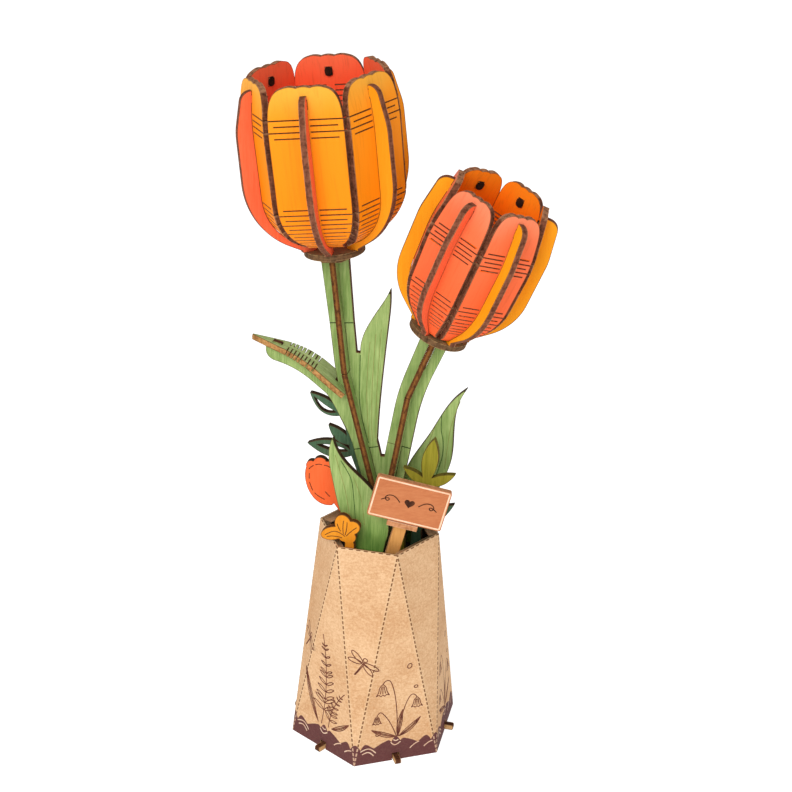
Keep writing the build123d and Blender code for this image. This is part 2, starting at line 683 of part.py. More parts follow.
os.makedirs("parts", exist_ok=True)
for name, part in parts.items():
    solids = part.solids()
    export_step(solids[0] if len(solids) == 1 else Compound(children=solids), f"parts/{name}.step")
    print(name, len(solids), round(part.volume, 2))
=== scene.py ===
import json
from math import cos, pi, radians, sin

import bmesh
import bpy
from mathutils import Matrix, Vector

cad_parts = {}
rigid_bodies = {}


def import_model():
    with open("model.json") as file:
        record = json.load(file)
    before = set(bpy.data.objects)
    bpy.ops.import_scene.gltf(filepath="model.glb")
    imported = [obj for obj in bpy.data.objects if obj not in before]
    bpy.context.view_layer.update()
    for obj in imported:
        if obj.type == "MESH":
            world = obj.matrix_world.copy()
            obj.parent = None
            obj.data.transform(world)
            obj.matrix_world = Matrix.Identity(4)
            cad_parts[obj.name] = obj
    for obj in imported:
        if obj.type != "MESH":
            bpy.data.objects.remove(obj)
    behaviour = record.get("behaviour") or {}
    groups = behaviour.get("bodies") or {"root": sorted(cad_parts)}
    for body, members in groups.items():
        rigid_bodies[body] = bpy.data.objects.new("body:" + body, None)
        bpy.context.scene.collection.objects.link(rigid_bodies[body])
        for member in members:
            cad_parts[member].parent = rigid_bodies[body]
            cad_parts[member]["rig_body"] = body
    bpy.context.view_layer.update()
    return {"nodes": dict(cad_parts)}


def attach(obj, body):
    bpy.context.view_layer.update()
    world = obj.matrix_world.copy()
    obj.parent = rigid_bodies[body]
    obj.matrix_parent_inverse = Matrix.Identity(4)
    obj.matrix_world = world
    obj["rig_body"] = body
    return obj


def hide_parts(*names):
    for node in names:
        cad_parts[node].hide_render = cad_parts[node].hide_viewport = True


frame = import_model()

# Inner frame: a base plate and three boards that cross on it, of bare 2 mm birch plywood cut by laser.
# The boards slot into each other and into the plate, and their hooked feet stand out through the card.
MM = 0.001
PLY = 2 * MM
FRONT = Vector((0, -1, 0))
UP = Vector((0, 0, 1))
RIGHT = Vector((1, 0, 0))
MERGE = 0.001 * MM
RIM = 0.3 * MM
SHARP = radians(32)
SHEEN = 0.12
RELIEF = 0.6
BARE = ("CDA572", "B1814D")


def paint(code):
    """A colour as seen on the object, for a shader's socket."""
    parts = [int(code[i:i + 2], 16) / 255 for i in (0, 2, 4)]
    return (*[p / 12.92 if p <= 0.04045 else ((p + 0.055) / 1.055) ** 2.4 for p in parts], 1)


class Tone:
    """A socket of a material's nodes; an expression on tones adds Math nodes."""

    def __init__(self, tree, socket=None):
        self.tree = tree
        self.socket = socket

    def node(self, kind, settings, inputs, out=0):
        made = self.tree.nodes.new(kind)
        for name, value in settings.items():
            setattr(made, name, value)
        for name, value in inputs.items():
            if isinstance(value, Tone):
                self.tree.links.new(value.socket, made.inputs[name])
            else:
                made.inputs[name].default_value = value
        return Tone(self.tree, made.outputs[out])

    def maths(self, operation, *values):
        return self.node("ShaderNodeMath", {"operation": operation}, dict(enumerate(values)))

    def __add__(self, other):
        return self.maths("ADD", self, other)

    def __sub__(self, other):
        return self.maths("SUBTRACT", self, other)

    def __rsub__(self, other):
        return self.maths("SUBTRACT", other, self)

    def __mul__(self, other):
        return self.maths("MULTIPLY", self, other)

    def __truediv__(self, other):
        return self.maths("DIVIDE", self, other)

    def __abs__(self):
        return self.maths("ABSOLUTE", self)

    __radd__ = __add__
    __rmul__ = __mul__

    def between(self, low, high):
        """0 below low and 1 above high, with a smooth step in between."""
        step = {"interpolation_type": "SMOOTHSTEP"}
        return self.node("ShaderNodeMapRange", step, {0: self, 1: low, 2: high})

    def mix(self, below, above):
        """The colour below where this tone is 0 and the colour above where it is 1."""
        return self.node("ShaderNodeMix", {"data_type": "RGBA"}, {0: self, 6: below, 7: above}, 2)

    def place(self, scale=(1, 1, 1), into=Matrix()):
        """Object coordinates in a piece's own frame, stretched."""
        point = self.node("ShaderNodeTexCoord", {}, {}, "Object")
        turn = {"Location": into.translation, "Rotation": into.to_euler()}
        turned = self.node("ShaderNodeMapping", {}, {"Vector": point, **turn})
        return self.node("ShaderNodeMapping", {}, {"Vector": turned, "Scale": scale})

    def axes(self):
        return [self.node("ShaderNodeSeparateXYZ", {}, {0: self}, i) for i in range(3)]

    def noise(self, detail=3, roughness=0.55):
        """Cloudy noise with lumps one unit across at these coordinates."""
        return self.node("ShaderNodeTexNoise", {}, {"Vector": self, "Scale": 1, "Detail": detail,
                                                    "Roughness": roughness})

    def attribute(self, name):
        return self.node("ShaderNodeAttribute", {"attribute_name": name}, {}, "Fac")

    def surface(self, colour, roughness, height, depth):
        """Joins a colour, a roughness and a relief to the material's shader."""
        shader = self.tree.nodes["Principled BSDF"]
        bump = self.node("ShaderNodeBump", {}, {"Height": height, "Strength": RELIEF, "Distance": depth})
        for name, tone in (("Base Color", colour), ("Roughness", roughness), ("Normal", bump)):
            self.tree.links.new(tone.socket, shader.inputs[name])
        shader.inputs["Specular IOR Level"].default_value = SHEEN
        return shader


def material(name):
    """An empty procedural material and the tone that its nodes start from."""
    made = bpy.data.materials.new(name)
    made.use_nodes = True
    return made, Tone(made.node_tree)


def sheet_finish(name, light, deep, along=UP, scorch=0.85, contrast=1.0, low=None):
    """The face of a sheet of plywood: stain over fine grain, another colour low down, and scorched rims."""
    made, tone = material(name)
    turn = along.rotation_difference(UP).to_matrix().to_4x4()
    grain = tone.place((1000, 1000, 45), turn).noise(4, 0.65)
    fleck = tone.place((2600, 2600, 240), turn).noise(2)
    cloud = tone.place((80, 80, 45), turn).noise(2)
    shade = ((grain * 0.6 + fleck * 0.3 + cloud * 0.5 - 0.7) * contrast + 0.5).between(0.25, 0.75)
    colour = shade.mix(paint(light), paint(deep))
    if low:
        height, span, low_light, low_deep = low
        below = shade.mix(paint(low_light), paint(low_deep))
        colour = tone.place().axes()[2].between(height - span, height + span).mix(below, colour)
    burn = (tone.attribute("scorch") + cloud * 0.35 - 0.15).between(0.1, 0.8) * scorch
    colour = burn.mix(colour, paint("442617"))
    tone.surface(colour, 0.52 + grain * 0.22, grain + fleck * 0.4, 0.00014)
    return made


def edge_finish(name, char, tan, line, line_from=0.72, line_to=0.95, painted_top_highlight=0.0):
    """The laser-cut edge of plywood: charred brown, mottled, paler along part of its thickness, with a painted
    highlight where it faces up.
    """
    made, tone = material(name)
    mottle = tone.place((900, 900, 420)).noise(4, 0.7)
    streak = tone.place((260, 260, 1400)).noise(2)
    colour = (mottle * 0.7 + streak * 0.4).between(0.35, 0.75).mix(paint(char), paint(tan))
    pale = abs(tone.attribute("across")).between(line_from, line_to) * mottle.between(0.3, 0.55) * 0.75
    colour = pale.mix(colour, paint(line))
    # Painted highlight: a paler colour on the upward-facing parts of the cut edge, as if lit from above.
    colour = (tone.attribute("painted_top_highlight") * mottle.between(0.3, 0.6) * painted_top_highlight).mix(colour, paint(line))
    tone.surface(colour, 0.7 + mottle * 0.25, mottle, 0.0002)
    return made


def finished(name, solid, looks, body, nodes=()):
    """A mesh made an object: its looks, the body it rides on and the solids that it stands for."""
    mesh = bpy.data.meshes.new(name)
    solid.to_mesh(mesh)
    solid.free()
    for look in looks:
        mesh.materials.append(look)
    mesh.set_sharp_from_angle(angle=SHARP)
    piece = bpy.data.objects.new(name, mesh)
    bpy.context.scene.collection.objects.link(piece)
    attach(piece, body)
    if nodes:
        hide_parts(*nodes)
    return piece


def sheet_piece(node, looks, facing, rim=RIM):
    """A merged copy of a sheet's solid: front and back faces found, their rims inset, and the cut edge left."""
    solid = bmesh.new()
    solid.from_mesh(frame["nodes"][node].data)
    bmesh.ops.remove_doubles(solid, verts=solid.verts, dist=MERGE)
    scorch = solid.verts.layers.float.new("scorch")
    across = solid.verts.layers.float.new("across")
    painted_top_highlight = solid.verts.layers.float.new("painted_top_highlight")
    if isinstance(facing, Vector):
        normal = max(solid.faces, key=lambda face: face.calc_area()).normal.copy()
        normal *= 1 if normal.dot(facing) > 0 else -1
        sides = [lambda face: face.normal.dot(normal) > 0.9, lambda face: face.normal.dot(normal) < -0.9]
    else:
        sides = facing
    for face in solid.faces:
        face.material_index = 2
        face.smooth = True
    for vert in solid.verts:
        vert[scorch] = 1
        # Marks the vertices of upward-facing faces, where a painted highlight goes on top edges.
        vert[painted_top_highlight] = max(face.normal.z for face in vert.link_faces) > 0.75
    for side, belongs in enumerate(sides):
        faces = [face for face in solid.faces if belongs(face)]
        for face in faces:
            face.material_index = side
            for vert in face.verts:
                vert[across] = 1 - 2 * side
        bmesh.ops.inset_region(solid, faces=faces, thickness=rim, use_even_offset=False, use_boundary=True)
        for face in faces:
            for vert in face.verts:
                vert[scorch] = 0
    return finished(node + ".sheet", solid, looks, frame["nodes"][node]["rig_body"], [node])


bare_ply = sheet_finish("bare_birch_ply", *BARE)
charred_edge = edge_finish("charred_cut_edge", "2F170E", "623922", "AB7F53")
for node in ("frame_board_low", "frame_board_middle"):
    sheet_piece(node, [bare_ply, bare_ply, charred_edge], FRONT)
sheet_piece("base_plate", [bare_ply, bare_ply, charred_edge], UP)

# Soil plate: a dark-stained plywood plate in the mouth of the vase, which stands for the earth.
# It rests on the boards, and each pick and the stems push into its slots.
soil_face = sheet_finish("dark_soil_stain", "27201D", "130F0D", RIGHT)
sheet_piece("soil_plate", [soil_face, soil_face, charred_edge], UP)

# Stems: flat planks of plywood stained leaf green, with the grain along them. The fork is cut in one with the
# board that carries it, which stays bare inside the vase. The tall leaf, with faint veins, and a branch are cut
# in one with the tall stem. Lines are engraved where the leaf leaves it and charred where planks butt.
GREEN = ("A1B26F", "67813F")
green_face = sheet_finish("leaf_green_stain", *GREEN)
STAIN_FROM = 66 * MM
fork_face = sheet_finish("fork_stain", *GREEN, low=(STAIN_FROM, MM, *BARE))
for node in ("tall_stem_leaf_plank", "tall_stem_top_plank", "short_stem_plank"):
    sheet_piece(node, [green_face, green_face, charred_edge], FRONT)
sheet_piece("stem_fork", [fork_face, fork_face, charred_edge], FRONT)


def ink_finish(name, dark, light):
    """A line engraved or printed on a sheet: its colour varies along the line."""
    made, tone = material(name)
    vary = tone.place((400, 400, 400)).noise(3)
    tone.surface(vary.between(0.3, 0.7).mix(paint(dark), paint(light)), 0.7 + vary * 0.2, vary, 0.00005)
    return made


STEPS = 5
FLATTEN = (1, 1, 0.25)


def drawn(name, strokes, place, width, ink, body):
    """Lines on a flat face, given in millimetres: smooth curves of one width, made a mesh in their place."""
    curve = bpy.data.curves.new(name, "CURVE")
    curve.dimensions = "3D"
    curve.bevel_depth = width * MM / 2
    curve.bevel_resolution = 0
    curve.resolution_u = STEPS
    for stroke in strokes:
        spline = curve.splines.new("NURBS")
        spline.points.add(len(stroke) - 1)
        for point, (u, v) in zip(spline.points, stroke):
            point.co = (u * MM, v * MM, 0, 1)
        spline.use_endpoint_u = True
        spline.order_u = min(3, len(stroke))
    holder = bpy.data.objects.new(name + ".route", curve)
    mesh = bpy.data.meshes.new_from_object(holder)
    bpy.data.objects.remove(holder)
    solid = bmesh.new()
    solid.from_mesh(mesh)
    bpy.data.meshes.remove(mesh)
    bmesh.ops.scale(solid, vec=FLATTEN, verts=solid.verts)
    bmesh.ops.transform(solid, matrix=place, verts=solid.verts)
    bmesh.ops.recalc_face_normals(solid, faces=solid.faces)
    finished(name, solid, [ink], body)


def on_front(y):
    """The place of a drawing in x and z on the front face of a sheet whose plane is at a depth."""
    return Matrix.Translation((0, y * MM - PLY / 2, 0)) @ Matrix.Rotation(pi / 2, 4, "X")


STEM_FRONT = on_front(0)
SEAM = 0.36
EDGE_LINE = 0.3
VEIN = 0.2
vein_ink = ink_finish("engraved_vein", "354B22", "557037")
leaf_line = [(-7.9, 144.2), (-7.9, 138.4), (-8.0, 128.2), (-7.1, 122.1), (-5.2, 114.8), (-4.3, 112.0)]
drawn("tall_leaf_line", [leaf_line], STEM_FRONT, EDGE_LINE, vein_ink, "arrangement")
faint_ink = ink_finish("faint_vein", "6E7438", "84804A")
tall_veins = [[(-4.7, 149.3), (-5.4, 138.7), (-5.4, 126.3), (-4.2, 112.6)],
              [(-2.8, 152.3), (-3.5, 138.9), (-3.7, 126.5), (-3.1, 112.8)],
              [(-1.0, 154.2), (-1.6, 142.0), (-2.1, 126.7), (-2.0, 114.1)]]
drawn("tall_leaf_veins", tall_veins, STEM_FRONT, VEIN, faint_ink, "arrangement")
seam_ink = ink_finish("charred_seam", "1B2610", "2F421C")
seams = [[(-9.3, 108.95), (-6.2, 109.75)], [(-4.0, 110.32), (-0.9, 111.13)], [(7.2, 112.37), (10.1, 111.91)],
         [(-18.4, 154.5), (-15.6, 154.83)], [(-13.3, 155.1), (-10.4, 155.45)]]
drawn("stem_seams", seams, STEM_FRONT, SEAM, seam_ink, "arrangement")

# Cross boards: narrow boards that stand across the planks and halve into them, so that each stem is a cross.
# Their front and back edges show, burnt brown with a warmer core between both faces.
cross_edge = edge_finish("burnt_stem_edge", "3B200D", "653C19", "885828", 0.55, 0.15)
for node in ("tall_stem_low_cross", "tall_stem_high_cross", "short_stem_low_cross", "short_stem_high_cross"):
    sheet_piece(node, [green_face, green_face, cross_edge], RIGHT)

# Drooping leaf: green plywood bent by rows of kerfs. It sits astride the stem's plank and on the branch,
# whose peg comes up through a slot near its tip.
tan_edge = edge_finish("tan_leaf_edge", "704822", "B98A53", "442813", 0.7, 0.95)
leaf_grain = sheet_finish("drooping_leaf_stain", "BAC989", "7D9451", Vector((-0.9, 0, 0.4)))
leaf_sides = [lambda face: face.normal.z > 0.5 and face.normal.x > -0.1,
              lambda face: face.normal.z < -0.5 and face.normal.x < 0.1]
sheet_piece("drooping_leaf", [leaf_grain, leaf_grain, tan_edge], leaf_sides)

# Flower heads: six kerf-bent petals around six ribs, which stand in a round calyx plate over a hexagonal collar.
# The petals are printed a different colour inside, and touch there at their burnt edges. Each rib pegs through
# its petal near the top.
TALL = Matrix.Translation(Vector((-17.58, 0, 181.38)) * MM) @ Matrix.Rotation(radians(-6.8), 4, "Y")
SHORT = Matrix.Translation(Vector((18.39, 0, 156.27)) * MM) @ Matrix.Rotation(radians(20.7), 4, "Y")
TALL_TURN, SHORT_TURN = -86, -114.5
TALL_TOP, SHORT_TOP = 57 * MM, 51 * MM
PETALS = 6
SPREAD = 360 / PETALS
PETAL_RIM = 0.4 * MM
INNER_SWELL = 1.012
PEG_END = Vector((0.4, 2.5, 3.1)) * MM
PEG_ROUND = 1.1 * MM


def petal_finish(name, seat, low, high, pale, top):
    """Printed petal with painted light and shade: paler towards its top, where light falls, and deeper lower down,
    where it is shaded; faint upright grain, scorched at every cut.
    """
    made, tone = material(name)
    into = seat.inverted()
    rise = tone.place((1, 1, 1), into).axes()[2]
    grain = tone.place((1300, 1300, 45), into).noise(3)
    cloud = tone.place((90, 90, 30), into).noise(2)
    # Painted shade: the low colour lower on the petal, turning to the high colour further up.
    colour = (rise / top + cloud * 0.3 - 0.15).between(0.1, 0.95).mix(paint(low), paint(high))
    # Painted highlight: the pale colour along the top of the petal.
    colour = (rise / top + cloud * 0.16).between(0.88, 1.12).mix(colour, paint(pale))
    colour = (grain.between(0.5, 0.75) * 0.16).mix(colour, paint("7F350E"))
    burn = (tone.attribute("scorch") + cloud * 0.4 - 0.25).between(0.15, 1.0) * 0.8
    colour = burn.mix(colour, paint("482412"))
    tone.surface(colour, 0.5 + grain * 0.2, grain, 0.00006)
    return made


def petal_sides(seat, turn):
    """Tests for the outer and inner faces of the petal at one turn of a head."""
    own = (seat @ Matrix.Rotation(radians(turn), 4, "Z")).to_3x3().inverted()

    def outer(face):
        normal = own @ face.normal
        return normal.x > 0.35 and normal.z < 0.3 and abs(normal.y) < 0.7

    def inner(face):
        normal = own @ face.normal
        return normal.x < -0.35 and normal.z > -0.3 and abs(normal.y) < 0.7

    return [outer, inner]


def peg_ends(name, seat, turn, radius, height, lean):
    """The charred, rounded ends of the ribs' pegs on the inside of the petals."""
    solid = bmesh.new()
    size = Matrix.Diagonal((*PEG_END, 1))
    for i in range(PETALS):
        place = seat @ Matrix.Rotation(radians(turn + SPREAD * i), 4, "Z")
        place @= Matrix.Translation((radius * MM, 0, height * MM)) @ Matrix.Rotation(radians(-lean), 4, "Y")
        verts = bmesh.ops.create_cube(solid, size=1, matrix=place @ size)["verts"]
        inwards = place.to_3x3() @ RIGHT
        edges = dict.fromkeys(edge for vert in verts for edge in vert.link_edges)
        runs = {edge: abs((edge.verts[1].co - edge.verts[0].co).dot(inwards)) for edge in edges}
        corners = [edge for edge, run in runs.items() if run > PEG_END.x * 0.75]
        bmesh.ops.bevel(solid, geom=corners, offset=PEG_ROUND, affect="EDGES", segments=5, profile=0.5, material=-1)
    finished(f"{name}_peg_ends", solid, [peg_char], "arrangement")


calyx_face = sheet_finish("calyx_brown_stain", "987F56", "654F35", RIGHT)
calyx_edge = edge_finish("burnt_calyx_edge", "402C1B", "76583A", "9F7F55")
# The petals' cut edges carry a painted highlight along their upward-facing tops.
petal_edge = edge_finish("burnt_petal_edge", "42200F", "7E4A34", "B4825E", painted_top_highlight=0.6)
rib_edge = edge_finish("burnt_rib_edge", "4A2616", "84503A", "A87A58")
peg_char = ink_finish("charred_peg", "1B0E08", "351D12")
coral_rib = sheet_finish("coral_rib_print", "EC7049", "E25228", contrast=0.5)
orange_rib = sheet_finish("orange_rib_print", "EC981B", "E8860E", contrast=0.5)
yellow_rib = sheet_finish("yellow_rib_print", "E79D18", "E28B06", contrast=0.5)
# Each petal print gets painted shade low down, lighter colour higher up and a painted highlight at its top.
tall_outside = petal_finish("tall_petal_outside", TALL, "EC8103", "EC8B12", "E7A135", TALL_TOP)
tall_inside = petal_finish("tall_petal_inside", TALL, "F03A1C", "FF5A32", "FF744C", TALL_TOP)
short_outside = petal_finish("short_petal_outside", SHORT, "E95E2E", "E76B40", "E77F5A", SHORT_TOP)
short_inside = petal_finish("short_petal_inside", SHORT, "FF5200", "FF7206", "FF8A18", SHORT_TOP)
heads = [
    ("tall", TALL, TALL_TURN, [tall_outside, tall_inside], [coral_rib, orange_rib], "orange_ply", "coral_ply", ()),
    ("short", SHORT, SHORT_TURN, [short_outside, short_inside], [yellow_rib, yellow_rib], "coral_ply", "yellow_ply",
     (1,)),
]
for name, seat, turn, petal_looks, rib_looks, petal_slot, rib_slot, coral_ribs in heads:
    for plate in ("calyx", "collar"):
        sheet_piece(f"{name}_{plate}", [calyx_face, calyx_face, calyx_edge], UP)
    for i in range(PETALS):
        angle = turn + SPREAD * i
        side = seat.to_3x3() @ Vector((-sin(radians(angle)), cos(radians(angle)), 0))
        looks = [coral_rib, yellow_rib] if i + 1 in coral_ribs else rib_looks
        sides = petal_sides(seat, angle)
        petal = sheet_piece(f"{name}_petal_{i + 1}", [*petal_looks, petal_edge], sides, PETAL_RIM)
        place = seat @ Matrix.Rotation(radians(angle), 4, "Z")
        wider = place @ Matrix.Diagonal((1, INNER_SWELL, 1, 1)) @ place.inverted()
        for vert, across in zip(petal.data.vertices, petal.data.attributes["across"].data):
            if across.value < 0:
                vert.co = wider @ vert.co
        sheet_piece(f"{name}_rib_{i + 1}", [*looks, rib_edge], side)
peg_ends("tall", TALL, TALL_TURN, radius=19.29, height=52.3, lean=7)
peg_ends("short", SHORT, SHORT_TURN, radius=13.77, height=46.4, lean=8.5)

# Leaf picks: two broad leaves, a dark sprig and leaf and an olive sprig, each one flat piece of stained plywood.
# Their feet push into the soil plate. A midrib is engraved on both broad leaves, with faint veins beside it.
FRONT_LEAF = on_front(-9.5)
RIGHT_LEAF = on_front(6.0)
MIDRIB = 0.35
deep_face = sheet_finish("deep_green_stain", "517053", "304B37")
olive_face = sheet_finish("olive_stain", "9B902E", "78721B")
pick_edge = edge_finish("burnt_pick_edge", "20170E", "49351F", "745C3B")
olive_edge = edge_finish("olive_cut_edge", "483E15", "706522", "897F35")
# Both broad leaves turn a darker, more olive green lower down.
front_face = sheet_finish("front_leaf_stain", *GREEN, low=(86 * MM, 15 * MM, "759942", "467028"))
right_face = sheet_finish("right_leaf_stain", *GREEN, low=(96 * MM, 16 * MM, "729348", "486B2E"))
for node, look, edge, slot in (("front_leaf", front_face, pick_edge, "green_ply"),
                               ("right_leaf", right_face, pick_edge, "green_ply"),
                               ("dark_sprig", deep_face, pick_edge, "dark_green_ply"),
                               ("dark_leaf", deep_face, pick_edge, "dark_green_ply"),
                               ("olive_sprig", olive_face, olive_edge, "olive_ply")):
    sheet_piece(node, [look, look, edge], FRONT)
front_vein = [(-11.6, 109.0), (-9.3, 105.6), (-7.5, 101.8), (-6.9, 96.0), (-6.3, 89.3), (-6.0, 85.0)]
drawn("front_leaf_vein", [front_vein], FRONT_LEAF, MIDRIB, vein_ink, "front_leaf_pick")
front_veins = [[(-13.5, 110.8), (-11.4, 103.6), (-9.2, 95.7), (-8.2, 88.2)],
               [(-7.2, 103.6), (-5.2, 98.8), (-3.7, 93.3), (-2.9, 85.5)]]
drawn("front_leaf_veins", front_veins, FRONT_LEAF, VEIN, faint_ink, "front_leaf_pick")
right_vein = [(19.3, 122.8), (19.1, 117.6), (20.3, 113.1), (20.3, 107.8), (19.2, 103.0), (17.6, 97.0)]
drawn("right_leaf_vein", [right_vein], RIGHT_LEAF, MIDRIB, vein_ink, "right_leaf_pick")
right_veins = [[(25.4, 128.7), (22.6, 120.3), (21.9, 112.1), (21.0, 102.6)],
               [(17.5, 119.1), (15.5, 113.5), (15.0, 106.6), (14.6, 101.6)]]
drawn("right_leaf_veins", right_veins, RIGHT_LEAF, VEIN, faint_ink, "right_leaf_pick")

# Bud and butterfly picks: a coral bud and a yellow butterfly, each one piece of printed plywood with engraved lines.
# Both are cut in one with a stalk, which pushes into the soil plate.
BUD_FRONT = on_front(-4.0)
WING_FRONT = on_front(-13.8)
BUD_LINE = 0.32
WING_LINE = 0.28
coral_face = sheet_finish("coral_bud_print", "EC6F3B", "E25320", contrast=0.5)
yellow_face = sheet_finish("yellow_wing_print", "DC8E22", "CA7813", contrast=0.8)
engraving = ink_finish("engraved_line", "351B10", "56301D")
sheet_piece("bud_pick", [coral_face, coral_face, pick_edge], FRONT)
bud_lines = [
    [(-24.1, 101.2), (-23.4, 102.3), (-22.4, 102.9)],
    [(-21.8, 103.2), (-20.6, 103.9), (-19.4, 103.5)],
    [(-18.8, 103.5), (-17.6, 103.6), (-16.6, 102.9)],
    [(-23.9, 99.8), (-24.0, 98.6), (-23.9, 97.6)],
    [(-23.8, 96.4), (-23.4, 94.8), (-22.6, 93.2)],
    [(-22.0, 92.4), (-20.4, 91.0), (-18.4, 90.3)],
    [(-18.2, 93.4), (-17.4, 92.3), (-16.5, 91.7)],
]
drawn("bud_lines", bud_lines, BUD_FRONT, BUD_LINE, engraving, "bud")
wing_edge = edge_finish("burnt_wing_edge", "442612", "70461F", "A3702F")
sheet_piece("butterfly", [yellow_face, yellow_face, wing_edge], FRONT)
wing_lines = [
    [(-15.6, 82.2), (-13.4, 84.0), (-10.8, 84.2), (-8.6, 82.6)],
    [(-15.0, 81.6), (-12.4, 82.6), (-9.6, 81.9)],
    [(-9.2, 83.4), (-9.6, 86.0), (-9.2, 88.6)],
    [(-8.6, 83.2), (-7.9, 85.6), (-8.0, 88.2)],
    [(-8.2, 82.8), (-6.6, 85.0), (-4.6, 86.6)],
    [(-10.2, 84.4), (-11.2, 86.0), (-11.4, 87.2)],
]
drawn("butterfly_lines", wing_lines, WING_FRONT, WING_LINE, engraving, "butterfly_pick")

# Sign: a board on a rail in front of a leaning post, of plywood with a warm pink wash on board and rail.
# A pale border line runs round the board, with a plain heart between two scrolls in it.
SIGN_SEAT = Vector((6, -12.2, 72)) * MM
SIGN_TURN, SIGN_LEAN = radians(12), radians(13.5)
BOARD_MIDDLE = Vector((0.3, 26.7, 3)) * MM
BORDER_REACH, BORDER_RISE, BORDER_LINE = 12.2, 7.0, 0.55
SCROLL_LINE = 0.4
HEART_UNIT = 0.11 * MM
HEART_POINTS = 32
HEART_DEPTH = 0.05 * MM
sign_face = sheet_finish("sign_wash", "BF784D", "AE653E", RIGHT, 0.2)
rail_face = sheet_finish("rail_wash", "ECC0A1", "DEA683", RIGHT, 0.0)
post_face = sheet_finish("bare_post_ply", "CF9856", "B67D41", scorch=0.5)
sign_edge = edge_finish("sign_cut_edge", "9B633E", "C88C62", "D7A681")
sheet_piece("sign_board", [sign_face, sign_face, sign_edge], FRONT)
sheet_piece("sign_rail", [rail_face, rail_face, sign_edge], FRONT)
sheet_piece("sign_post", [post_face, post_face, sign_edge], FRONT)
sign_place = Matrix.Translation(SIGN_SEAT) @ Matrix.Rotation(SIGN_TURN, 4, "Z")
sign_place = sign_place @ Matrix.Rotation(SIGN_LEAN, 4, "Y") @ Matrix.Rotation(pi / 2, 4, "X")
board_front = sign_place @ Matrix.Translation(BOARD_MIDDLE)
pale_line = ink_finish("pale_border", "E1B593", "E6C6AA")
corners = [(u * BORDER_REACH, v * BORDER_RISE) for u, v in ((-1, -1), (1, -1), (1, 1), (-1, 1))]
border = [list(ends) for ends in zip(corners, corners[1:] + corners[:1])]
drawn("sign_border", border, board_front, BORDER_LINE, pale_line, "sign")
scroll = [(3.2, -0.4), (5.0, 1.6), (7.6, 1.6), (8.6, 0.2), (7.6, -0.9), (6.7, -0.1), (7.6, 0.6), (9.6, -0.8)]
scrolls = [scroll, [(-u, v) for u, v in scroll]]
drawn("sign_scrolls", scrolls, board_front, SCROLL_LINE, engraving, "sign")
heart = bmesh.new()
turns = [2 * pi * i / HEART_POINTS for i in range(HEART_POINTS)]
outline = [(16 * sin(t) ** 3, 13 * cos(t) - 5 * cos(2 * t) - 2 * cos(3 * t) - cos(4 * t)) for t in turns]
face = heart.faces.new([heart.verts.new((HEART_UNIT * u, HEART_UNIT * v, 0)) for u, v in outline])
raised = bmesh.ops.extrude_face_region(heart, geom=[face])["geom"]
raised = [part for part in raised if isinstance(part, bmesh.types.BMVert)]
bmesh.ops.translate(heart, verts=raised, vec=(0, 0, HEART_DEPTH))
bmesh.ops.recalc_face_normals(heart, faces=heart.faces)
bmesh.ops.transform(heart, matrix=board_front, verts=heart.verts)
finished("sign_heart", heart, [engraving], "sign")

# Vase: a sleeve of kraft card folded from one sheet along perforated creases, with narrow flaps turned in at
# the rim. A plum band with a scalloped top is printed round its foot, and sprigs in brown line above it.
MOUTH = 21.1
FOOT = 30.7
HEIGHT = 80.0
SIDES = 6
STEP = 360 / SIDES
DASH, RIM_DASH = 0.9, 1.3
SCALLOP = 5.0
BAND_HEIGHT = 6.0
SPRIG_FOOT = 9.5
SPRIG_LINE = 0.36
CURL_LINE = 0.4


def kraft(tone):
    """Colour and relief of brown card: fine speckle over soft clouds."""
    speckle = tone.place((1300, 1300, 1300)).noise(5, 0.75)
    fibre = tone.place((420, 420, 2100)).noise(3)
    cloud = tone.place((60, 60, 60)).noise(3)
    shade = (speckle * 0.9 + fibre * 0.3 + cloud * 0.5 - 0.35).between(0.25, 0.75)
    return shade.mix(paint("DDB890"), paint("BD8E63")), speckle


plain_card, tone = material("plain_kraft_card")
colour, speckle = kraft(tone)
tone.surface(colour, 0.78 + speckle * 0.15, speckle, 0.0001)

printed_card, tone = material("printed_kraft_card")
colour, speckle = kraft(tone)
x, y, z = tone.place((1000, 1000, 1000)).axes()
reach = tone.maths("SQRT", x * x + y * y)
turned = tone.maths("ARCTAN2", y, x) + 2 * pi
fold = tone.maths("PINGPONG", turned, pi / 6)
up = z / HEIGHT
off_across = reach * tone.maths("COSINE", fold) - (FOOT * cos(pi / 6) + up * (MOUTH - FOOT * cos(pi / 6)))
off_along = reach * tone.maths("SINE", fold) - FOOT * 0.5 * (1 - up)
crease = tone.maths("SQRT", off_across * off_across + off_along * off_along)
dash = tone.maths("PINGPONG", z, DASH).between(0.26, 0.36)
rim_side = tone.maths("MODULO", turned, pi / 3) - pi / 6
rim_in = reach * tone.maths("COSINE", rim_side) - MOUTH * cos(pi / 6)
rim = tone.maths("SQRT", (z - HEIGHT) * (z - HEIGHT) + rim_in * rim_in)
rim_dash = tone.maths("PINGPONG", reach * tone.maths("SINE", rim_side) + 20, RIM_DASH).between(0.5, 0.6)
